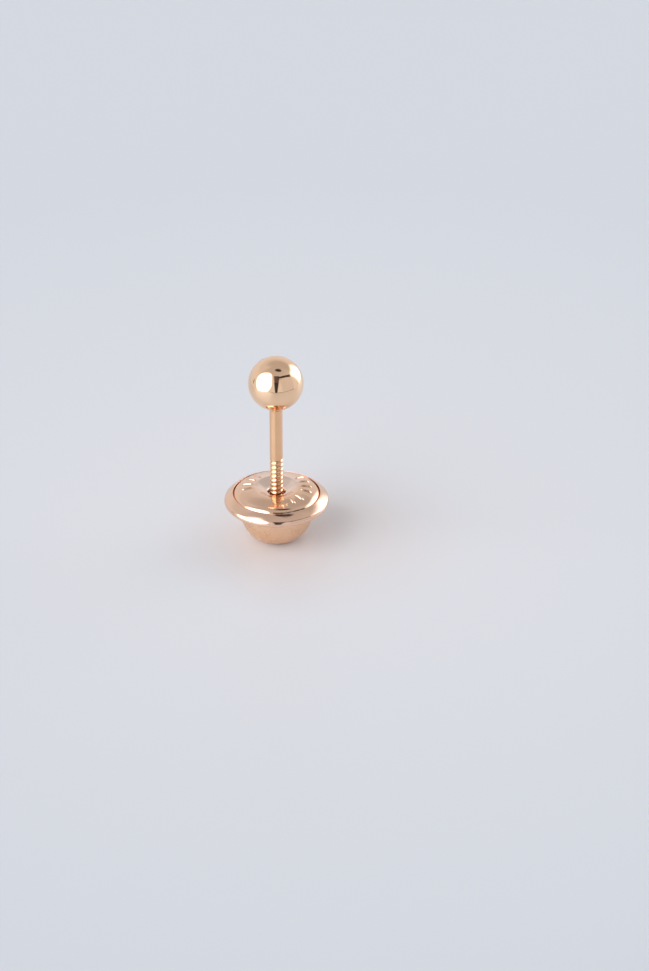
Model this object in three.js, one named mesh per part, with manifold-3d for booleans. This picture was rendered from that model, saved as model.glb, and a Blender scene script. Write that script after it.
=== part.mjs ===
// Ball stud earring with a threaded post and a domed screw back.
// It stands upright on the small flat foot of its back.
// Lengths are in millimetres. +Z runs up the post and the origin is under the middle of the foot.

import * as THREE from "three";
import { mergeVertices } from "three/addons/utils/BufferGeometryUtils.js";
import Module from "manifold-3d";

const wasm = await Module();
wasm.setup();

// Stud: a ball soldered to a post, with a right-hand thread on the post's lower part.
const BALL_DIAMETER = 4.0;
const POST_DIAMETER = 0.95;
const POST_LENGTH = 9.26;
const SOLDER_FLARE = 0.14;
const SOLDER_HEIGHT = 0.24;
// The solder's wide end is sunk this far into the ball.
const SOLDER_DEPTH = 0.02;
const TIP_CHAMFER = 0.14;
const THREAD_LENGTH = 5.3;
const THREAD_PITCH = 0.35;
const THREAD_DEPTH = 0.085;
// Over this length the thread fades out at each of its ends.
const THREAD_FADE = 0.2;

// Lobe gap: how far the ball's underside stands above the hole's lip in the plate.
const LOBE_GAP = 6.86;

// Cup: a pressed dome on a flat foot, turned out into a rolled rim.
const SHEET = 0.25;
const FOOT_DIAMETER = 2.0;
const BACK_DIAMETER = 7.64;
const DOME_HEIGHT = 2.42;
const DOME_INSET = 1.12;
const RIM_FILLET = 0.25;
const RIM_UNDER = 0.28;
const RIM_OVER = 0.67;
const RIM_WIDTH = 0.6;
// Over its widest circle the rim turns in by this much, up to a flank that slopes to the seam.
const RIM_TURN_WIDTH = 0.12;
const RIM_TURN_HEIGHT = 0.3;
// Points that the turn and the flank bend towards, off the widest circle and off the seam.
const TURN_BEND_RISE = 0.19;
const FLANK_BEND_WIDTH = 0.226;
const FLANK_BEND_DROP = 0.14;
const SEAM_EDGE = 0.04;
const LEDGE_WIDTH = 0.34;

// Plate: a sheet disc that closes the cup, crowned outwards and drawn in at its hole.
const SEAM_GAP = 0.03;
// The plate's edge lies this much lower than the rim's edge beside it.
const PLATE_SINK = 0.08;
const PLATE_EDGE = 0.25;
const PLATE_CROWN = 0.46;
// From the crest to the shoulder the crown falls by this much, and the edge is rounded over from there.
const SHOULDER_DROP = 0.215;
const EDGE_ROUNDING = 0.45;
const HOLE_CLEARANCE = 0.175;
const HOLE_LIP = 0.12;
const LIP_RISE = 0.13;

// Raised strokes on the plate, in groups that point at the post.
const STROKE_LENGTH = 0.95;
const STROKE_WIDTH = 0.2;
const STROKE_RISE = 0.09;
const STROKE_STEP_DEG = 18;
const STROKE_GROUPS = [
  { middleDeg: 158, strokes: 4 },
  { middleDeg: 14, strokes: 4 },
  { middleDeg: -50, strokes: 2 },
];

// Nut: a plain bush under the plate that the thread runs in.
const NUT_WALL = 0.42;
const BORE_CLEARANCE = 0.03;
const NUT_GAP = 0.03;

// Facets.
const ROUND_SEGMENTS = 64;
const BALL_SEGMENTS = 36;
const POST_SEGMENTS = 20;
const CUP_STEPS = 3;
const PLATE_STEPS = 5;
const FLARE_STEPS = 4;
const ROWS_PER_PITCH = 5;
const STROKE_SEGMENTS = 10;
const STROKE_RINGS = 6;

// Points closer together than this are one point.
const SAME_POINT = 1e-5;

// Radii.
const ballRadius = BALL_DIAMETER / 2;
const postRadius = POST_DIAMETER / 2;
const footRadius = FOOT_DIAMETER / 2;
const backRadius = BACK_DIAMETER / 2;
const domeRadius = backRadius - DOME_INSET;
const rimTopRadius = backRadius - RIM_WIDTH;
const seamRadius = rimTopRadius - SEAM_EDGE;
const plateRadius = seamRadius - SEAM_GAP;
const ledgeRadius = seamRadius - LEDGE_WIDTH;
const holeRadius = postRadius + HOLE_CLEARANCE;
const boreRadius = postRadius + BORE_CLEARANCE;
const nutRadius = boreRadius + NUT_WALL;
const lipRadius = holeRadius + HOLE_LIP;
const solderRadius = postRadius + SOLDER_FLARE;

// Heights.
const rimUndersideZ = DOME_HEIGHT + RIM_FILLET;
const widestZ = rimUndersideZ + RIM_UNDER;
const seamZ = widestZ + RIM_OVER;
const plateEdgeTopZ = seamZ - SEAM_EDGE - PLATE_SINK;
const plateEdgeBottomZ = plateEdgeTopZ - PLATE_EDGE;
const ledgeZ = plateEdgeBottomZ - SEAM_GAP;
const crestZ = seamZ + PLATE_CROWN;
const lipZ = seamZ + LIP_RISE;
const collarBottomZ = lipZ - SHEET;
const nutBottomZ = SHEET + NUT_GAP;
const nutTopZ = collarBottomZ - NUT_GAP;
const ballBottomZ = lipZ + LOBE_GAP;
const ballCentreZ = ballBottomZ + ballRadius;
const solderTopZ = ballCentreZ - Math.sqrt(ballRadius ** 2 - solderRadius ** 2) + SOLDER_DEPTH;
const postTipZ = ballBottomZ - POST_LENGTH;
const threadBottomZ = postTipZ + TIP_CHAMFER;
const threadTopZ = postTipZ + THREAD_LENGTH;

// The plate's crest circle lies this share of the way from the hole to the plate's edge.
const CREST_SHARE = 0.4;
const crestRadius = THREE.MathUtils.lerp(holeRadius, plateRadius, CREST_SHARE);
const shoulderRadius = plateRadius - EDGE_ROUNDING;
const shoulderZ = crestZ - SHOULDER_DROP;
// The edge's curve first goes on at the shoulder's slope, for this share of the rounding.
const EDGE_BEND_SHARE = 0.62;
const shoulderSlope = (2 * SHOULDER_DROP) / (shoulderRadius - crestRadius);
const edgeBendRadius = shoulderRadius + EDGE_BEND_SHARE * EDGE_ROUNDING;
const edgeBendZ = shoulderZ - shoulderSlope * EDGE_BEND_SHARE * EDGE_ROUNDING;
// Middles of the falls from the crest to the lip and to the shoulder.
const funnelRadius = (crestRadius + lipRadius) / 2;
const crownRadius = (crestRadius + shoulderRadius) / 2;

// Turns a profile of (radius, height) points round +Z. The profile runs from the axis
// to the axis, or closes on itself, with the solid on its left.
function revolve(profile, segments) {
  return new THREE.LatheGeometry(profile, segments).rotateX(Math.PI / 2);
}

function pathPoints(path, steps) {
  const points = path.getPoints(steps);
  return points.filter((p, i) => i === 0 || p.distanceTo(points[i - 1]) > SAME_POINT);
}

function toManifold(geometry) {
  const bare = geometry.clone();
  bare.deleteAttribute("normal");
  bare.deleteAttribute("uv");
  const merged = mergeVertices(bare, SAME_POINT);
  return new wasm.Manifold(new wasm.Mesh({
    numProp: 3,
    vertProperties: new Float32Array(merged.attributes.position.array),
    triVerts: new Uint32Array(merged.index.array),
  }));
}

function toGeometry(manifold) {
  const mesh = manifold.getMesh();
  const geometry = new THREE.BufferGeometry();
  const positions = new THREE.BufferAttribute(new Float32Array(mesh.vertProperties), 3);
  geometry.setAttribute("position", positions);
  geometry.setIndex(new THREE.BufferAttribute(new Uint32Array(mesh.triVerts), 1));
  geometry.computeVertexNormals();
  return geometry;
}

function solid(name, geometry, look) {
  const mesh = new THREE.Mesh(geometry, new THREE.MeshStandardMaterial(look));
  mesh.name = name;
  return mesh;
}

const YELLOWER_GOLD = { color: 0xe2b489, metalness: 1, roughness: 0.12 };
const ROSE_GOLD = { color: 0xdba588, metalness: 1, roughness: 0.2 };
const SATIN_ROSE_GOLD = { color: 0xd9a283, metalness: 1, roughness: 0.38 };

// Depth of the thread's groove under the crest, from 0 at a crest to 1 at a root.
function grooveDepth(angle, z) {
  const turns = (z - postTipZ) / THREAD_PITCH - angle / (2 * Math.PI);
  const wave = (1 - Math.cos(2 * Math.PI * turns)) / 2;
  const fromEnd = Math.min(z - threadBottomZ, threadTopZ - z);
  const fade = THREE.MathUtils.clamp(fromEnd / THREAD_FADE, 0, 1);
  return wave * fade;
}

function postGeometry() {
  const profile = [new THREE.Vector2(0, postTipZ)];
  profile.push(new THREE.Vector2(postRadius - TIP_CHAMFER, postTipZ));
  const rows = Math.round(((threadTopZ - threadBottomZ) / THREAD_PITCH) * ROWS_PER_PITCH);
  for (let row = 0; row <= rows; row += 1) {
    const z = THREE.MathUtils.lerp(threadBottomZ, threadTopZ, row / rows);
    profile.push(new THREE.Vector2(postRadius, z));
  }
  const flare = new THREE.Path();
  flare.moveTo(postRadius, ballBottomZ - SOLDER_HEIGHT);
  flare.quadraticCurveTo(postRadius, ballBottomZ, solderRadius, solderTopZ);
  profile.push(...pathPoints(flare, FLARE_STEPS));
  profile.push(new THREE.Vector2(0, ballCentreZ));

  const geometry = revolve(profile, POST_SEGMENTS);
  const position = geometry.attributes.position;
  for (let i = 0; i < position.count; i += 1) {
    const x = position.getX(i);
    const y = position.getY(i);
    const z = position.getZ(i);
    const onThread = z > threadBottomZ - SAME_POINT && z < threadTopZ + SAME_POINT;
    if (onThread) {
      const cut = 1 - (THREAD_DEPTH / postRadius) * grooveDepth(Math.atan2(y, x), z);
      position.setXY(i, x * cut, y * cut);
    }
  }
  return geometry;
}

function ballGeometry() {
  const arc = new THREE.Path();
  arc.absarc(0, ballCentreZ, ballRadius, -Math.PI / 2, Math.PI / 2, false);
  const profile = arc.getPoints(BALL_SEGMENTS / 4);
  profile[0].x = 0;
  profile[profile.length - 1].x = 0;
  return revolve(profile, BALL_SEGMENTS);
}

function ballPost() {
  const soldered = toManifold(ballGeometry()).add(toManifold(postGeometry()));
  return solid("ball_post", toGeometry(soldered), YELLOWER_GOLD);
}

function backCup() {
  const outside = new THREE.Path();
  outside.moveTo(0, 0);
  outside.lineTo(footRadius, 0);
  outside.absellipse(
    footRadius, DOME_HEIGHT, domeRadius - footRadius, DOME_HEIGHT, -Math.PI / 2, 0, false, 0,
  );
  outside.absarc(
    domeRadius + RIM_FILLET, DOME_HEIGHT, RIM_FILLET, Math.PI, Math.PI / 2, true,
  );
  outside.absellipse(rimTopRadius, widestZ, RIM_WIDTH, RIM_UNDER, -Math.PI / 2, 0, false, 0);
  outside.quadraticCurveTo(
    backRadius, widestZ + TURN_BEND_RISE, backRadius - RIM_TURN_WIDTH, widestZ + RIM_TURN_HEIGHT,
  );
  outside.quadraticCurveTo(
    rimTopRadius + FLANK_BEND_WIDTH, seamZ - FLANK_BEND_DROP, rimTopRadius, seamZ,
  );
  outside.quadraticCurveTo(seamRadius, seamZ, seamRadius, seamZ - SEAM_EDGE);
  const inside = new THREE.Path();
  inside.moveTo(seamRadius, ledgeZ);
  inside.lineTo(ledgeRadius, ledgeZ);
  inside.lineTo(domeRadius - SHEET, rimUndersideZ);
  inside.lineTo(domeRadius - SHEET, DOME_HEIGHT);
  inside.absellipse(
    footRadius, DOME_HEIGHT, domeRadius - footRadius - SHEET, DOME_HEIGHT - SHEET,
    0, -Math.PI / 2, true, 0,
  );
  inside.lineTo(0, SHEET);
  const profile = [
    ...pathPoints(outside, CUP_STEPS),
    ...pathPoints(inside, CUP_STEPS),
  ];
  return solid("back_cup", revolve(profile, ROUND_SEGMENTS), SATIN_ROSE_GOLD);
}

// The plate's underside, from the collar round the hole out to the edge that sits on the ledge.
function plateUnderside() {
  const path = new THREE.Path();
  path.moveTo(holeRadius, collarBottomZ);
  path.lineTo(lipRadius, collarBottomZ);
  path.bezierCurveTo(
    funnelRadius, collarBottomZ,
    funnelRadius, crestZ - SHEET,
    crestRadius, crestZ - SHEET,
  );
  path.quadraticCurveTo(crownRadius, crestZ - SHEET, shoulderRadius, shoulderZ - SHEET);
  path.lineTo(shoulderRadius, plateEdgeBottomZ);
  path.lineTo(plateRadius, plateEdgeBottomZ);
  return path;
}

// Height of the plate's upper face at a radius between the crest and the shoulder.
function crownHeight(radius) {
  const share = (radius - crestRadius) / (shoulderRadius - crestRadius);
  return crestZ - (crestZ - shoulderZ) * share * share;
}

function backPlate() {
  const path = plateUnderside();
  path.lineTo(plateRadius, plateEdgeTopZ);
  path.quadraticCurveTo(edgeBendRadius, edgeBendZ, shoulderRadius, shoulderZ);
  path.quadraticCurveTo(crownRadius, crestZ, crestRadius, crestZ);
  path.bezierCurveTo(funnelRadius, crestZ, funnelRadius, lipZ, lipRadius, lipZ);
  path.quadraticCurveTo(holeRadius, lipZ, holeRadius, lipZ - HOLE_LIP);
  path.lineTo(holeRadius, collarBottomZ);
  const profile = pathPoints(path, PLATE_STEPS);
  let plate = toManifold(revolve(profile, ROUND_SEGMENTS));
  for (const { middleDeg, strokes } of STROKE_GROUPS) {
    for (let n = 0; n < strokes; n += 1) {
      const angleDeg = middleDeg + (n - (strokes - 1) / 2) * STROKE_STEP_DEG;
      plate = plate.add(toManifold(strokeGeometry(angleDeg)));
    }
  }
  return solid("back_plate", toGeometry(plate), ROSE_GOLD);
}

function strokeGeometry(angleDeg) {
  const inner = crownRadius - STROKE_LENGTH / 2;
  const outer = crownRadius + STROKE_LENGTH / 2;
  const slope = Math.atan2(crownHeight(inner) - crownHeight(outer), STROKE_LENGTH);
  return new THREE.SphereGeometry(1, STROKE_SEGMENTS, STROKE_RINGS)
    .scale(STROKE_LENGTH / 2, STROKE_WIDTH / 2, STROKE_RISE)
    .rotateY(slope)
    .translate(crownRadius, 0, crownHeight(crownRadius))
    .rotateZ(THREE.MathUtils.degToRad(angleDeg));
}

function nut() {
  const profile = [
    new THREE.Vector2(boreRadius, nutBottomZ),
    new THREE.Vector2(nutRadius, nutBottomZ),
    new THREE.Vector2(nutRadius, nutTopZ),
    new THREE.Vector2(boreRadius, nutTopZ),
    new THREE.Vector2(boreRadius, nutBottomZ),
  ];
  return solid("nut", revolve(profile, ROUND_SEGMENTS), ROSE_GOLD);
}

function group(name, ...children) {
  const made = new THREE.Group();
  made.name = name;
  made.add(...children);
  return made;
}

export default group(
  "ball_stud_earring",
  group("back", backCup(), backPlate()),
  group("turning_nut", nut()),
  group("stud", ballPost()),
);
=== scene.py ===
"""Looks for a ball stud earring that stands upright on the flat foot of its screw back.

Sizes are in millimetres here and become metres when a mesh is made.
+Z runs up the post, and the origin is under the middle of the foot.
"""

import math

import bpy
import numpy as np
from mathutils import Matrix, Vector, noise


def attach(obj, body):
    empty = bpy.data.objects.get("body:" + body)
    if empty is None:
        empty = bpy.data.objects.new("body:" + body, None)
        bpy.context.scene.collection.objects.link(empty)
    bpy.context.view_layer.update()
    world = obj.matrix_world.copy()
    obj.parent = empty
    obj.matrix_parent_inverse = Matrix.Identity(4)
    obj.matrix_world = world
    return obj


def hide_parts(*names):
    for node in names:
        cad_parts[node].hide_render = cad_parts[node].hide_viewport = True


MM = 0.001
SAME_POINT = 1e-6

# Stud.
BALL_RADIUS = 2.0
POST_RADIUS = 0.475
POST_LENGTH = 9.26
SOLDER_FLARE = 0.14
SOLDER_HEIGHT = 0.24
TIP_CHAMFER = 0.14
THREAD_LENGTH = 5.3
THREAD_PITCH = 0.35
THREAD_DEPTH = 0.085
THREAD_FADE = 0.2
GROOVE_SHARPNESS = 2.2
ROWS_PER_PITCH = 22
LOBE_GAP = 6.86
STUD_SEGMENTS = 128

# Cup.
SHEET = 0.25
FOOT_RADIUS = 1.0
BACK_RADIUS = 3.82
DOME_HEIGHT = 2.42
DOME_RADIUS = 2.70
RIM_FILLET = 0.25
RIM_UNDER = 0.28
RIM_OVER = 0.67
RIM_WIDTH = 0.60
# Over its widest circle the rim turns in by this much, up to a flank that slopes to the seam.
RIM_TURN_WIDTH = 0.12
RIM_TURN_HEIGHT = 0.3
# Points that the turn and the flank bend towards, off the widest circle and off the seam.
TURN_BEND_RISE = 0.19
FLANK_BEND_WIDTH = 0.226
FLANK_BEND_DROP = 0.14
SEAM_EDGE = 0.04
LEDGE_WIDTH = 0.34
# The rim's polish starts this far under its underside.
POLISH_MARGIN = 0.01
CUP_SEGMENTS = 256

# The rim is a little uneven: how much, how finely round it and up it, and how the unevenness sets in.
RIM_WAVE = 0.02
RIM_WAVE_ROUND = 1.9
RIM_WAVE_UP = 0.8
RIM_WAVE_SETS_IN_UP = 0.3
RIM_WAVE_SETS_IN_OUT = 0.15

# Plate.
SEAM_GAP = 0.03
PLATE_SINK = 0.08
PLATE_EDGE = 0.25
PLATE_CROWN = 0.46
SHOULDER_DROP = 0.215
EDGE_ROUNDING = 0.45
# The edge's curve first goes on at the shoulder's slope, for this share of the rounding.
EDGE_BEND_SHARE = 0.62
HOLE_CLEARANCE = 0.175
HOLE_LIP = 0.12
LIP_RISE = 0.13
CREST_SHARE = 0.4
FUNNEL_EASE = 0.2
PLATE_SEGMENTS = 480

# Raised strokes on the plate. A group is its middle angle in degrees and how many strokes it has.
STROKE_LENGTH = 0.95
STROKE_WIDTH = 0.24
STROKE_RISE = 0.10
STROKE_END = 0.22
STROKE_STEP = 18
STROKE_GROUPS = ((158, 4), (14, 4), (-50, 2))

# The plate's top is a little wavy all over, and buckled round each group of strokes.
WAVE = 0.018
WAVE_FINENESS = 0.9
WAVE_LAYER = 3.1
BUCKLE = 0.02
BUCKLE_FINENESS = 2.1
BUCKLE_LAYER = 7.7
# The buckles fade out over this many degrees, and set in from this radius outwards.
BUCKLE_FADE = 14
BUCKLE_INNER_RADIUS = 1.0
BUCKLE_SETS_IN = 0.5
# Next to the seam and to the hole the plate is calm.
CALM_AT_SEAM = 0.5
CALM_AT_HOLE = 0.4
# The relief leaves out what lies lower than this under the shoulder, and this close to the edge.
RELIEF_DEPTH = 0.02
RELIEF_EDGE = 0.01

# The painted highlight, a pale oval painted into the plate's colour round the back of the hole: its centre
# lies behind the post, and it fades between two radii.
PAINTED_HIGHLIGHT_SHIFT = 0.8
PAINTED_HIGHLIGHT_SQUEEZE = 0.75
PAINTED_HIGHLIGHT_START = 0.9
PAINTED_HIGHLIGHT_END = 1.7
PAINTED_HIGHLIGHT_COLOUR = (0.95, 0.74, 0.62)

# Radii and heights that follow from them.
RIM_TOP_RADIUS = BACK_RADIUS - RIM_WIDTH
SEAM_RADIUS = RIM_TOP_RADIUS - SEAM_EDGE
PLATE_RADIUS = SEAM_RADIUS - SEAM_GAP
LEDGE_RADIUS = SEAM_RADIUS - LEDGE_WIDTH
HOLE_RADIUS = POST_RADIUS + HOLE_CLEARANCE
RIM_UNDERSIDE_Z = DOME_HEIGHT + RIM_FILLET
WIDEST_Z = RIM_UNDERSIDE_Z + RIM_UNDER
SEAM_Z = WIDEST_Z + RIM_OVER
PLATE_TOP_Z = SEAM_Z - SEAM_EDGE - PLATE_SINK
PLATE_BOTTOM_Z = PLATE_TOP_Z - PLATE_EDGE
LEDGE_Z = PLATE_BOTTOM_Z - SEAM_GAP
CREST_Z = SEAM_Z + PLATE_CROWN
LIP_Z = SEAM_Z + LIP_RISE
COLLAR_Z = LIP_Z - SHEET
BALL_BOTTOM_Z = LIP_Z + LOBE_GAP
BALL_Z = BALL_BOTTOM_Z + BALL_RADIUS
TIP_Z = BALL_BOTTOM_Z - POST_LENGTH
THREAD_BOTTOM_Z = TIP_Z + TIP_CHAMFER
THREAD_TOP_Z = TIP_Z + THREAD_LENGTH
LIP_RADIUS = HOLE_RADIUS + HOLE_LIP
CREST_RADIUS = HOLE_RADIUS + CREST_SHARE * (PLATE_RADIUS - HOLE_RADIUS)
SHOULDER_RADIUS = PLATE_RADIUS - EDGE_ROUNDING
SHOULDER_Z = CREST_Z - SHOULDER_DROP
CROWN_RADIUS = (CREST_RADIUS + SHOULDER_RADIUS) / 2

# Gold. Scales of noise are per metre and depths of relief in millimetres.
PATCH_SCALE = 420
PATCH_RANGE = (0.36, 0.64)
SMEAR_SCALE = 1300
SMEAR_RANGE = (0.35, 0.70)
GRAIN_SCALE = 22000
GRAIN_DEPTH = 0.01
SCRATCH_TURN = (0.5, 0.3, 0.7)
SCRATCH_SCALE = (400, 9000, 9000)
SCRATCH_RANGE = (0.60, 0.68)
SCRATCH_DEPTH = 0.01
DENT_SCALE = 900
DENT_DEPTH = 0.02

# Floor, seen from above, with the earring at the origin. The edge strip runs along the corners named here.
FLOOR_CORNERS = ((-47, -50), (-20, -60), (15, -60), (45, -45), (62, -15), (62, 150), (-47, 150))
EDGE_CORNERS = FLOOR_CORNERS[1:5]
EDGE_HEIGHT = 1.4
EDGE_COLOUR = (0.22, 0.18, 0.17)
# The floor's painted light, warm painted bounce light from the gold, reaches this far round a point that
# lies this far to the right of the earring.
PAINTED_LIGHT_REACH = 60
PAINTED_LIGHT_SHIFT = 3
# Colours from the painted light's outside, at 0, where painted falloff darkens the floor, to its centre, at
# 1, where painted bounce light warms it.
FLOOR_PAINTED_LIGHT = (
    (0.0, (0.575, 0.603, 0.630)),
    (0.45, (0.612, 0.629, 0.647)),
    (0.80, (0.650, 0.655, 0.669)),
    (0.92, (0.660, 0.626, 0.614)),
)
# The floor's glow, a light of its own, is painted fill light that lightens the shade round and under the
# gold.
FLOOR_GLOW = (0.05, 0.05, 0.055)

# Colours of the room from the horizon and all below it, at 0, to straight up, at 1.
ROOM_COLOURS = (
    (0.0, (0.80, 0.80, 0.83)),
    (0.38, (0.81, 0.80, 0.81)),
    (0.70, (0.66, 0.65, 0.66)),
    (1.0, (0.54, 0.53, 0.53)),
)
# What the camera sees past the floor.
BACKDROP_COLOUR = (0.71, 0.73, 0.78)
# Each patch of the room that the gold reflects is flat and square to the direction that it lies towards.
# Its half sizes and soft edge are shares of its distance. A later patch covers an earlier one.
# With round it is an oval, the squarer the higher that power is, and else a rectangle.
# lean shears a patch upwards to one side, and taper widens a rectangle upwards.
WALL_PANEL = dict(
    towards=(0.79, -0.59, 0.20),
    across=(0, 0, 1),
    half=(0.42, 0.50),
    soft=0.05,
    light=(0.70, 0.69, 0.73),
)
LEFT_WINDOW = dict(
    towards=(-0.792, -0.525, 0.330),
    across=(0, 0.51, 0.86),
    half=(0.745, 0.705),
    soft=0.50,
    round=3.0,
    lean=0.30,
    light=(3.32, 3.45, 3.70),
)
RIGHT_WINDOW_BEHIND = dict(
    towards=(0.816, 0.556, 0.20),
    across=(-0.563, 0.826, 0),
    half=(0.340, 0.475),
    soft=0.20,
    lean=0.46,
    light=(3.10, 3.20, 3.45),
)
PALE_CEILING_LEFT = dict(
    towards=(-0.50, 0.40, 0.75),
    across=(1, 0, 0),
    half=(0.4, 0.3),
    soft=0.9,
    round=2.0,
    light=(0.72, 0.71, 0.74),
)
DIM_CEILING_BEHIND = dict(
    towards=(0.22, 0.46, 0.86),
    across=(1, 0, 0),
    half=(0.75, 0.34),
    soft=0.9,
    round=2.0,
    light=(0.53, 0.52, 0.53),
)
DARK_THING_LOW_LEFT = dict(
    towards=(-0.964, 0.262, -0.03),
    across=(0, 0, 1),
    half=(0.12, 0.05),
    soft=0.5,
    round=2.0,
    light=(0.30, 0.25, 0.23),
)
TRIPOD_HEAD = dict(
    towards=(0.07, -0.90, 0.45),
    across=(1, 0, 0),
    half=(0.150, 0.62),
    soft=0.03,
    taper=0.11,
    light=(0.13, 0.10, 0.095),
)
TRIPOD_LEGS = dict(
    towards=(0.04, -0.98, 0.12),
    across=(1, 0, 0),
    half=(0.115, 0.45),
    soft=0.03,
    taper=0.10,
    light=(0.05, 0.05, 0.05),
)
CAMERA_ARM = dict(
    towards=(0.55, -0.40, 0.72),
    across=(0.57, 0.50, -0.20),
    half=(0.52, 0.07),
    soft=0.02,
    light=(0.03, 0.025, 0.025),
)
OPENING_OVERHEAD = dict(
    towards=(0.16, -0.09, 0.98),
    across=(1, 0, 0),
    half=(0.21, 0.12),
    soft=0.35,
    round=2.0,
    light=(0.06, 0.05, 0.05),
)
PATCHES = (
    WALL_PANEL,
    LEFT_WINDOW,
    RIGHT_WINDOW_BEHIND,
    PALE_CEILING_LEFT,
    DIM_CEILING_BEHIND,
    DARK_THING_LOW_LEFT,
    TRIPOD_HEAD,
    TRIPOD_LEGS,
    CAMERA_ARM,
    OPENING_OVERHEAD,
)
# Directions whose cosine with a patch's own is under this one can't see it.
LEAST_AHEAD = 0.02

# Camera. The clipping distances are in metres.
CAMERA_LENS = 150
CAMERA_SENSOR = 36
CAMERA_ELEVATION = 29.6
CAMERA_DISTANCE = 295
CAMERA_AIM = (3.5, 0, 4.17)
CAMERA_NEAR = 0.01
CAMERA_FAR = 10

# Sockets of a colour's mix node, which has other ones of the same names.
MIX_SHARE = 0
MIX_FIRST = 6
MIX_SECOND = 7
MIX_RESULT = 2


def shares(steps):
    """Equal steps from 0 to 1, as a column."""
    return np.linspace(0, 1, steps + 1)[:, None]


def line(start, end, steps):
    share = shares(steps)
    return np.array(start) * (1 - share) + np.array(end) * share


def bend(start, control, end, steps):
    share = shares(steps)
    start, control, end = map(np.array, (start, control, end))
    return (1 - share) ** 2 * start + 2 * share * (1 - share) * control + share**2 * end


def swing(start, end, ease, steps):
    """A run that leaves start and reaches end level. ease is the share of its width that it keeps level."""
    share = shares(steps)
    level = ease * (end[0] - start[0])
    corners = (start, (start[0] + level, start[1]), (end[0] - level, end[1]), end)
    weights = ((1 - share) ** 3, 3 * share * (1 - share) ** 2, 3 * share**2 * (1 - share), share**3)
    return sum(weight * np.array(corner) for weight, corner in zip(weights, corners))


def arc(centre, radii, start_deg, end_deg, steps):
    angle = np.radians(np.linspace(start_deg, end_deg, steps + 1))
    return np.array(centre) + np.stack([np.cos(angle) * radii[0], np.sin(angle) * radii[1]], axis=1)


def joined(*runs):
    """One profile from several runs, each of which starts where the one before it ends."""
    points = [runs[0][0]]
    for run in runs:
        for point in run:
            if np.hypot(*(point - points[-1])) > SAME_POINT:
                points.append(point)
    return np.array(points)


def smooth(value):
    value = np.clip(value, 0, 1)
    return value * value * (3 - 2 * value)


def noise_at(x, y, z):
    return np.array([noise.noise(Vector(place)) for place in zip(x, y, z)])


def mesh_object(name, points, faces):
    """An object made of points in millimetres and of faces."""
    mesh = bpy.data.meshes.new(name)
    mesh.from_pydata((np.array(points) * MM).tolist(), [], faces)
    made = bpy.data.objects.new(name, mesh)
    bpy.context.scene.collection.objects.link(made)
    return made


def revolve(name, profile, segments, shape):
    """A closed surface of revolution round +Z, its inside on the profile's left.

    shape moves its vertices, given as arrays of radius, angle and height.
    """
    closed = np.hypot(*(profile[0] - profile[-1])) < SAME_POINT
    if closed:
        profile = profile[:-1]
    rings = []
    points = []
    start = 0
    for radius, z in profile:
        count = 1 if radius < SAME_POINT else segments
        rings.append(start + np.arange(count))
        turn = np.arange(count) * 2 * np.pi / segments
        points.append(np.stack([np.full(count, radius), turn, np.full(count, z)], axis=1))
        start += count
    radius, turn, z = np.concatenate(points).T
    radius, z = shape(radius, turn, z)
    places = np.stack([radius * np.cos(turn), radius * np.sin(turn), z], axis=1)

    faces = []
    following = rings[1:] + rings[:1] if closed else rings[1:]
    for low, high in zip(rings, following):
        if len(low) == 1:
            corners = [np.full(segments, low[0]), np.roll(high, -1), high]
        elif len(high) == 1:
            corners = [low, np.roll(low, -1), np.full(segments, high[0])]
        else:
            corners = [low, np.roll(low, -1), np.roll(high, -1), high]
        faces += np.stack(corners, axis=1).tolist()
    made = mesh_object(name, places, faces)
    made.data.shade_smooth()
    return made


def stud():
    weld_radius = POST_RADIUS + SOLDER_FLARE
    weld_angle = math.degrees(math.asin(weld_radius / BALL_RADIUS)) - 90
    weld = (weld_radius, BALL_Z - math.sqrt(BALL_RADIUS**2 - weld_radius**2))
    tip = (POST_RADIUS - TIP_CHAMFER, TIP_Z)
    thread_bottom = (POST_RADIUS, THREAD_BOTTOM_Z)
    thread_top = (POST_RADIUS, THREAD_TOP_Z)
    thread_rows = round((THREAD_TOP_Z - THREAD_BOTTOM_Z) / THREAD_PITCH * ROWS_PER_PITCH)
    solder_bottom = (POST_RADIUS, BALL_BOTTOM_Z - SOLDER_HEIGHT)
    profile = joined(
        line((0, TIP_Z), tip, steps=3),
        line(tip, thread_bottom, steps=3),
        line(thread_bottom, thread_top, steps=thread_rows),
        line(thread_top, solder_bottom, steps=24),
        bend(solder_bottom, (POST_RADIUS, BALL_BOTTOM_Z), weld, steps=12),
        arc((0, BALL_Z), (BALL_RADIUS, BALL_RADIUS), weld_angle, 90, steps=96),
    )

    def threaded(radius, turn, z):
        turns = (z - TIP_Z) / THREAD_PITCH - turn / (2 * np.pi)
        groove = ((1 - np.cos(2 * np.pi * turns)) / 2) ** GROOVE_SHARPNESS
        from_end = np.minimum(z - THREAD_BOTTOM_Z, THREAD_TOP_Z - z)
        on_side = np.abs(radius - POST_RADIUS) < SAME_POINT
        depth = THREAD_DEPTH * groove * smooth(from_end / THREAD_FADE) * on_side
        return radius - depth, z

    return revolve("ball_post_look", profile, STUD_SEGMENTS, threaded)


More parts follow.
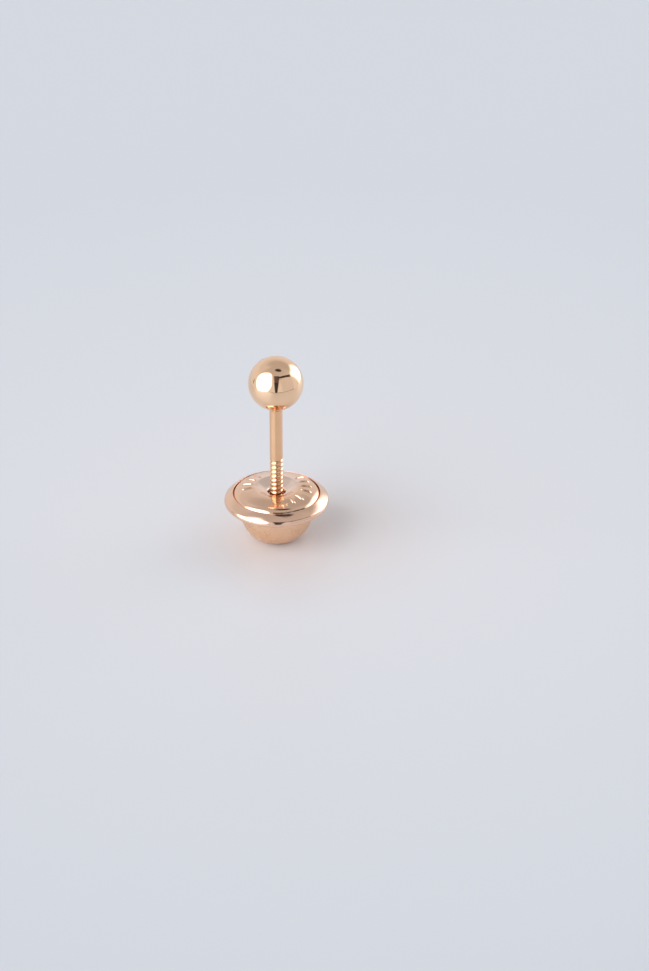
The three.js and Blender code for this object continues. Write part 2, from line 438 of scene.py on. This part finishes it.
def strokes(radius, turn):
    """How high the strokes rise, and how close a place lies to a group of them, from 0 to 1."""
    rise = np.zeros_like(radius)
    near = np.zeros_like(radius)
    for middle_deg, count in STROKE_GROUPS:
        off = np.degrees(np.abs(np.angle(np.exp(1j * (turn - math.radians(middle_deg))))))
        near = np.maximum(near, smooth((count * STROKE_STEP / 2 + BUCKLE_FADE - off) / BUCKLE_FADE))
        for n in range(count):
            way = math.radians(middle_deg + (n - (count - 1) / 2) * STROKE_STEP)
            along = radius * np.cos(turn - way) - CROWN_RADIUS
            across = radius * np.sin(turn - way)
            ridge = np.clip(1 - (across / (STROKE_WIDTH / 2)) ** 2, 0, 1)
            ends = smooth((STROKE_LENGTH / 2 - np.abs(along)) / STROKE_END)
            rise = np.maximum(rise, STROKE_RISE * ridge * ends)
    return rise, near


def plate():
    slope = 2 * SHOULDER_DROP / (SHOULDER_RADIUS - CREST_RADIUS)
    reach = EDGE_BEND_SHARE * EDGE_ROUNDING
    edge_bend = (SHOULDER_RADIUS + reach, SHOULDER_Z - slope * reach)
    hole_bottom = (HOLE_RADIUS, COLLAR_Z)
    hole_top = (HOLE_RADIUS, LIP_Z - HOLE_LIP)
    lip = (LIP_RADIUS, LIP_Z)
    lip_under = (LIP_RADIUS, COLLAR_Z)
    crest = (CREST_RADIUS, CREST_Z)
    crest_under = (CREST_RADIUS, CREST_Z - SHEET)
    shoulder = (SHOULDER_RADIUS, SHOULDER_Z)
    shoulder_under = (SHOULDER_RADIUS, SHOULDER_Z - SHEET)
    seat_inside = (SHOULDER_RADIUS, PLATE_BOTTOM_Z)
    seat_outside = (PLATE_RADIUS, PLATE_BOTTOM_Z)
    edge = (PLATE_RADIUS, PLATE_TOP_Z)
    profile = joined(
        line(hole_bottom, lip_under, steps=2),
        swing(lip_under, crest_under, FUNNEL_EASE, steps=10),
        bend(crest_under, (CROWN_RADIUS, CREST_Z - SHEET), shoulder_under, steps=8),
        line(shoulder_under, seat_inside, steps=2),
        line(seat_inside, seat_outside, steps=2),
        line(seat_outside, edge, steps=3),
        bend(edge, edge_bend, shoulder, steps=24),
        bend(shoulder, (CROWN_RADIUS, CREST_Z), crest, steps=44),
        swing(crest, lip, FUNNEL_EASE, steps=28),
        bend(lip, (HOLE_RADIUS, LIP_Z), hole_top, steps=10),
        line(hole_top, hole_bottom, steps=3),
    )

    def pressed(radius, turn, z):
        on_top = (z > SHOULDER_Z - RELIEF_DEPTH) * (radius < PLATE_RADIUS - RELIEF_EDGE)
        rise, near = strokes(radius, turn)
        x = radius * np.cos(turn)
        y = radius * np.sin(turn)
        layer = np.ones_like(z)
        waves = WAVE * noise_at(x * WAVE_FINENESS, y * WAVE_FINENESS, layer * WAVE_LAYER)
        buckles = BUCKLE * noise_at(x * BUCKLE_FINENESS, y * BUCKLE_FINENESS, layer * BUCKLE_LAYER)
        buckled = near * smooth((radius - BUCKLE_INNER_RADIUS) / BUCKLE_SETS_IN)
        calm = smooth((PLATE_RADIUS - radius) / CALM_AT_SEAM) * smooth((radius - HOLE_RADIUS) / CALM_AT_HOLE)
        return radius, z + on_top * (rise + (waves + buckles * buckled) * calm)

    return revolve("back_plate_look", profile, PLATE_SEGMENTS, pressed)


def cup():
    dome_middle = (FOOT_RADIUS, DOME_HEIGHT)
    dome_width = DOME_RADIUS - FOOT_RADIUS
    fillet_middle = (DOME_RADIUS + RIM_FILLET, DOME_HEIGHT)
    widest = (BACK_RADIUS, WIDEST_Z)
    turn_bend = (BACK_RADIUS, WIDEST_Z + TURN_BEND_RISE)
    turned = (BACK_RADIUS - RIM_TURN_WIDTH, WIDEST_Z + RIM_TURN_HEIGHT)
    flank_bend = (RIM_TOP_RADIUS + FLANK_BEND_WIDTH, SEAM_Z - FLANK_BEND_DROP)
    rim_top = (RIM_TOP_RADIUS, SEAM_Z)
    seam = (SEAM_RADIUS, SEAM_Z - SEAM_EDGE)
    ledge_outside = (SEAM_RADIUS, LEDGE_Z)
    ledge_inside = (LEDGE_RADIUS, LEDGE_Z)
    throat_top = (DOME_RADIUS - SHEET, RIM_UNDERSIDE_Z)
    throat_bottom = (DOME_RADIUS - SHEET, DOME_HEIGHT)
    profile = joined(
        line((0, 0), (FOOT_RADIUS, 0), steps=4),
        arc(dome_middle, (dome_width, DOME_HEIGHT), -90, 0, steps=40),
        arc(fillet_middle, (RIM_FILLET, RIM_FILLET), 180, 90, steps=12),
        arc((RIM_TOP_RADIUS, WIDEST_Z), (RIM_WIDTH, RIM_UNDER), -90, 0, steps=20),
        bend(widest, turn_bend, turned, steps=16),
        bend(turned, flank_bend, rim_top, steps=16),
        bend(rim_top, (SEAM_RADIUS, SEAM_Z), seam, steps=6),
        line(seam, ledge_outside, steps=2),
        line(ledge_outside, ledge_inside, steps=2),
        line(ledge_inside, throat_top, steps=2),
        line(throat_top, throat_bottom, steps=2),
        arc(dome_middle, (dome_width - SHEET, DOME_HEIGHT - SHEET), 0, -90, steps=12),
        line((FOOT_RADIUS, SHEET), (0, SHEET), steps=3),
    )

    def rolled(radius, turn, z):
        uneven = noise_at(np.cos(turn) * RIM_WAVE_ROUND, np.sin(turn) * RIM_WAVE_ROUND, z * RIM_WAVE_UP)
        upwards = smooth((z - DOME_HEIGHT) / RIM_WAVE_SETS_IN_UP)
        outwards = smooth((radius - RIM_TOP_RADIUS) / RIM_WAVE_SETS_IN_OUT)
        return radius + RIM_WAVE * uneven * upwards * outwards, z

    return revolve("back_cup_look", profile, CUP_SEGMENTS, rolled)


def noise_node(tree, place, scale, detail):
    node = tree.nodes.new("ShaderNodeTexNoise")
    node.inputs["Scale"].default_value = scale
    node.inputs["Detail"].default_value = detail
    tree.links.new(place, node.inputs["Vector"])
    return node.outputs["Fac"]


def ramp_node(tree, value, stops):
    """Colours for a value, mixed between stops that are each a position and a colour."""
    node = tree.nodes.new("ShaderNodeValToRGB")
    elements = node.color_ramp.elements
    while len(elements) < len(stops):
        elements.new(0.5)
    for element, (position, colour) in zip(elements, stops):
        element.position = position
        element.color = (*colour, 1)
    tree.links.new(value, node.inputs["Fac"])
    return node.outputs["Color"]


def eased_node(tree, value, none, full):
    """Goes smoothly from 0, where the value is none, to 1, where it is full."""
    node = tree.nodes.new("ShaderNodeMapRange")
    node.interpolation_type = "SMOOTHSTEP"
    node.inputs["From Min"].default_value = none
    node.inputs["From Max"].default_value = full
    tree.links.new(value, node.inputs["Value"])
    return node.outputs["Result"]


def bump_node(tree, height, strength, depth, under=None):
    """Relief with a depth in millimetres, over the relief under it."""
    node = tree.nodes.new("ShaderNodeBump")
    node.inputs["Strength"].default_value = strength
    node.inputs["Distance"].default_value = depth * MM
    tree.links.new(height, node.inputs["Height"])
    if under is not None:
        tree.links.new(under.outputs["Normal"], node.inputs["Normal"])
    return node


def vector_node(tree, operation, source, operand=None):
    node = tree.nodes.new("ShaderNodeVectorMath")
    node.operation = operation
    tree.links.new(source, node.inputs[0])
    if operand is not None:
        node.inputs[1].default_value = operand
    return node


def mix_node(tree, share, first, second):
    """Goes from the first colour, which is another node's, to the second one as the share goes to 1."""
    node = tree.nodes.new("ShaderNodeMix")
    node.data_type = "RGBA"
    tree.links.new(share, node.inputs[MIX_SHARE])
    tree.links.new(first, node.inputs[MIX_FIRST])
    node.inputs[MIX_SECOND].default_value = (*second, 1)
    return node.outputs[MIX_RESULT]


def new_material(name):
    material = bpy.data.materials.new(name)
    material.use_nodes = True
    return material


def metal(name, colours, roughness, grain, scratches, dents):
    """Worn polished metal. colours and roughness are (low, high) pairs that patches of noise mix."""
    material = new_material(name)
    tree = material.node_tree
    shader = tree.nodes["Principled BSDF"]
    shader.inputs["Metallic"].default_value = 1.0
    place = tree.nodes.new("ShaderNodeTexCoord").outputs["Object"]

    patches = noise_node(tree, place, PATCH_SCALE, detail=4)
    tint = ramp_node(tree, patches, tuple(zip(PATCH_RANGE, colours)))
    tree.links.new(tint, shader.inputs["Base Color"])

    dullness = tree.nodes.new("ShaderNodeMapRange")
    dullness.inputs["From Min"].default_value = SMEAR_RANGE[0]
    dullness.inputs["From Max"].default_value = SMEAR_RANGE[1]
    dullness.inputs["To Min"].default_value = roughness[0]
    dullness.inputs["To Max"].default_value = roughness[1]
    tree.links.new(noise_node(tree, place, SMEAR_SCALE, detail=6), dullness.inputs["Value"])
    tree.links.new(dullness.outputs["Result"], shader.inputs["Roughness"])

    stretched = tree.nodes.new("ShaderNodeMapping")
    stretched.inputs["Rotation"].default_value = SCRATCH_TURN
    stretched.inputs["Scale"].default_value = SCRATCH_SCALE
    tree.links.new(place, stretched.inputs["Vector"])
    hairs = noise_node(tree, stretched.outputs["Vector"], scale=1, detail=2)
    thin_hairs = ramp_node(tree, hairs, tuple(zip(SCRATCH_RANGE, ((0, 0, 0), (1, 1, 1)))))

    satin = bump_node(tree, noise_node(tree, place, GRAIN_SCALE, detail=3), grain, GRAIN_DEPTH)
    scratched = bump_node(tree, thin_hairs, scratches, SCRATCH_DEPTH, satin)
    scratched.invert = True
    dented = bump_node(tree, noise_node(tree, place, DENT_SCALE, detail=1), dents, DENT_DEPTH, scratched)
    tree.links.new(dented.outputs["Normal"], shader.inputs["Normal"])
    return material


def add_painted_highlight(material):
    """Paints a highlight into a metal's colour: a pale oval round the back of the hole, where the
    photographed plate looks whitish.
    """
    tree = material.node_tree
    base = tree.nodes["Principled BSDF"].inputs["Base Color"]
    place = tree.nodes.new("ShaderNodeTexCoord").outputs["Object"]
    from_centre = vector_node(tree, "SUBTRACT", place, (0, PAINTED_HIGHLIGHT_SHIFT * MM, 0))
    squeezed = vector_node(tree, "MULTIPLY", from_centre.outputs["Vector"], (PAINTED_HIGHLIGHT_SQUEEZE, 1, 0))
    distance = vector_node(tree, "LENGTH", squeezed.outputs["Vector"])
    share = eased_node(tree, distance.outputs["Value"], PAINTED_HIGHLIGHT_END * MM, PAINTED_HIGHLIGHT_START * MM)
    tree.links.new(mix_node(tree, share, base.links[0].from_socket, PAINTED_HIGHLIGHT_COLOUR), base)


def surface(name, colour, roughness, shine, glow):
    """A plain surface. shine is the strength of its gloss, and glow is a light of its own."""
    material = new_material(name)
    shader = material.node_tree.nodes["Principled BSDF"]
    shader.inputs["Base Color"].default_value = (*colour, 1)
    shader.inputs["Roughness"].default_value = roughness
    shader.inputs["Specular IOR Level"].default_value = shine
    shader.inputs["Emission Color"].default_value = (*glow, 1)
    shader.inputs["Emission Strength"].default_value = 1
    return material


def paint_bounce_and_falloff(material):
    """Paints warm bounce light from the gold onto the surface close to it, and painted falloff that darkens
    it a little towards its far parts.
    """
    tree = material.node_tree
    place = tree.nodes.new("ShaderNodeTexCoord").outputs["Object"]
    scaled = tree.nodes.new("ShaderNodeMapping")
    scaled.inputs["Scale"].default_value = [1 / (PAINTED_LIGHT_REACH * MM)] * 3
    scaled.inputs["Location"].default_value = (-PAINTED_LIGHT_SHIFT / PAINTED_LIGHT_REACH, 0, 0)
    tree.links.new(place, scaled.inputs["Vector"])
    spread = tree.nodes.new("ShaderNodeTexGradient")
    spread.gradient_type = "SPHERICAL"
    tree.links.new(scaled.outputs["Vector"], spread.inputs["Vector"])
    # Painted bounce light near the point and painted falloff away from it, by distance.
    tint = ramp_node(tree, spread.outputs["Fac"], FLOOR_PAINTED_LIGHT)
    tree.links.new(tint, tree.nodes["Principled BSDF"].inputs["Base Color"])


def paint(piece, material, upper=None, above=0.0):
    """Gives a piece its material, and another one where its faces lie above a height."""
    piece.data.materials.clear()
    piece.data.materials.append(material)
    if upper is not None:
        piece.data.materials.append(upper)
        for face in piece.data.polygons:
            face.material_index = int(face.center.z > above * MM)


def patch_mask(tree, way, patch):
    """A node output: 1 inside one soft-edged patch of the room and 0 outside it."""
    centre = Vector(patch["towards"]).normalized()
    side = (Vector(patch["across"]) - Vector(patch["across"]).dot(centre) * centre).normalized()
    up = centre.cross(side)
    side = side + patch.get("lean", 0) * up

    def math_node(operation, first, second=None):
        node = tree.nodes.new("ShaderNodeMath")
        node.operation = operation
        for socket, value in zip(node.inputs, (first, second)):
            if isinstance(value, (int, float)):
                socket.default_value = value
            elif value is not None:
                tree.links.new(value, socket)
        return node.outputs[0]

    def along(axis):
        return vector_node(tree, "DOT_PRODUCT", way, axis).outputs["Value"]

    def within(value, limit):
        return eased_node(tree, value, limit + patch["soft"], limit - patch["soft"])

    def powered(value, half_size):
        share = math_node("ABSOLUTE", math_node("DIVIDE", value, half_size))
        return math_node("POWER", share, patch["round"])

    ahead = along(centre)
    x = math_node("DIVIDE", along(side), ahead)
    y = math_node("DIVIDE", along(up), ahead)
    wide, high = patch["half"]
    if "round" in patch:
        inside = within(math_node("ADD", powered(x, wide), powered(y, high)), 1)
    else:
        widening = math_node("MULTIPLY", y, patch.get("taper", 0))
        width = math_node("SUBTRACT", math_node("ABSOLUTE", x), widening)
        inside = math_node("MULTIPLY", within(width, wide), within(math_node("ABSOLUTE", y), high))
    return math_node("MULTIPLY", inside, math_node("GREATER_THAN", ahead, LEAST_AHEAD))


def surroundings():
    """The room, which the gold reflects, and a plain backdrop in its place for the camera."""
    world = bpy.data.worlds.new("studio")
    bpy.context.scene.world = world
    world.use_nodes = True
    tree = world.node_tree
    tree.nodes.clear()
    way = tree.nodes.new("ShaderNodeTexCoord").outputs["Generated"]
    height = tree.nodes.new("ShaderNodeSeparateXYZ")
    tree.links.new(way, height.inputs[0])
    colour = ramp_node(tree, height.outputs["Z"], ROOM_COLOURS)
    for patch in PATCHES:
        colour = mix_node(tree, patch_mask(tree, way, patch), colour, patch["light"])
    lit = tree.nodes.new("ShaderNodeBackground")
    tree.links.new(colour, lit.inputs["Color"])
    seen = tree.nodes.new("ShaderNodeBackground")
    seen.inputs["Color"].default_value = (*BACKDROP_COLOUR, 1)
    path = tree.nodes.new("ShaderNodeLightPath")
    either = tree.nodes.new("ShaderNodeMixShader")
    tree.links.new(path.outputs["Is Camera Ray"], either.inputs[0])
    tree.links.new(lit.outputs[0], either.inputs[1])
    tree.links.new(seen.outputs[0], either.inputs[2])
    out = tree.nodes.new("ShaderNodeOutputWorld")
    tree.links.new(either.outputs[0], out.inputs["Surface"])


def floor():
    """A pale platform, with a thin dark edge round its front and right that only reflections show."""
    corners = [(x, y, 0) for x, y in FLOOR_CORNERS]
    top = mesh_object("floor", corners, [tuple(range(len(corners)))])
    pale = surface("pale_surface", FLOOR_PAINTED_LIGHT[0][1], roughness=0.42, shine=0.85, glow=FLOOR_GLOW)
    # The floor's colour holds painted bounce light near the gold and painted falloff far from it.
    paint_bounce_and_falloff(pale)
    paint(top, pale)

    count = len(EDGE_CORNERS)
    points = [(x, y, z) for z in (0, EDGE_HEIGHT) for x, y in EDGE_CORNERS]
    faces = [(n, n + 1, n + 1 + count, n + count) for n in range(count - 1)]
    edge = mesh_object("floor_edge", points, faces)
    edge.visible_camera = False
    edge.visible_shadow = False
    paint(edge, surface("dark_edge", EDGE_COLOUR, roughness=0.6, shine=0.5, glow=(0, 0, 0)))


def camera():
    data = bpy.data.cameras.new("camera")
    data.lens = CAMERA_LENS
    data.sensor_width = CAMERA_SENSOR
    data.clip_start = CAMERA_NEAR
    data.clip_end = CAMERA_FAR
    made = bpy.data.objects.new("camera", data)
    bpy.context.scene.collection.objects.link(made)
    elevation = math.radians(CAMERA_ELEVATION)
    back = Vector((0, -math.cos(elevation), math.sin(elevation)))
    made.location = (Vector(CAMERA_AIM) + back * CAMERA_DISTANCE) * MM
    made.rotation_euler = (-back).to_track_quat("-Z", "Y").to_euler()
    bpy.context.scene.camera = made


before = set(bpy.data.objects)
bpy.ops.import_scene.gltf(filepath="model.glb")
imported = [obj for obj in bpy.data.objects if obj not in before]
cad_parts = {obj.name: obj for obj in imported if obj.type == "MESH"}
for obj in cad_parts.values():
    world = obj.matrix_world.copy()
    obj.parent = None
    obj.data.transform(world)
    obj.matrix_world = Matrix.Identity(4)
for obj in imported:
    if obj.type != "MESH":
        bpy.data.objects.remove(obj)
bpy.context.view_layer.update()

ball_gold = metal(
    "ball_gold",
    colours=((0.92, 0.62, 0.405), (0.96, 0.66, 0.435)),
    roughness=(0.03, 0.08),
    grain=0.05,
    scratches=0.08,
    dents=0.01,
)
post_gold = metal(
    "post_gold",
    colours=((0.84, 0.51, 0.29), (0.89, 0.55, 0.33)),
    roughness=(0.07, 0.16),
    grain=0.10,
    scratches=0.10,
    dents=0.03,
)
plate_gold = metal(
    "plate_gold",
    colours=((0.85, 0.57, 0.395), (0.91, 0.615, 0.44)),
    roughness=(0.05, 0.12),
    grain=0.08,
    scratches=0.12,
    dents=0.12,
)
rim_gold = metal(
    "rim_gold",
    colours=((0.845, 0.565, 0.40), (0.91, 0.615, 0.46)),
    roughness=(0.05, 0.12),
    grain=0.06,
    scratches=0.12,
    dents=0.10,
)
dome_gold = metal(
    "dome_gold",
    colours=((0.83, 0.545, 0.35), (0.92, 0.625, 0.42)),
    roughness=(0.24, 0.38),
    grain=0.50,
    scratches=0.10,
    dents=0.03,
)
# The nut's gold is painted dark brown, as painted shade in the hole under the plate.
nut_gold_painted_shade = metal(
    "nut_gold_painted_shade",
    colours=((0.30, 0.18, 0.11), (0.40, 0.25, 0.16)),
    roughness=(0.25, 0.40),
    grain=0.25,
    scratches=0.10,
    dents=0.10,
)

ball_post = stud()
paint(ball_post, post_gold, ball_gold, BALL_BOTTOM_Z)
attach(ball_post, "stud")
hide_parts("ball_post")

back_plate = plate()
# Paints a pale highlight into the plate's colour round the back of the hole.
add_painted_highlight(plate_gold)
paint(back_plate, plate_gold)
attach(back_plate, "back")
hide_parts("back_plate")

back_cup = cup()
paint(back_cup, dome_gold, rim_gold, RIM_UNDERSIDE_Z - POLISH_MARGIN)
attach(back_cup, "back")
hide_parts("back_cup")

# The nut gets the gold that is painted dark as shade in the hole.
paint(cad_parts["nut"], nut_gold_painted_shade)

floor()
surroundings()
camera()
bpy.context.scene.view_settings.view_transform = "Standard"
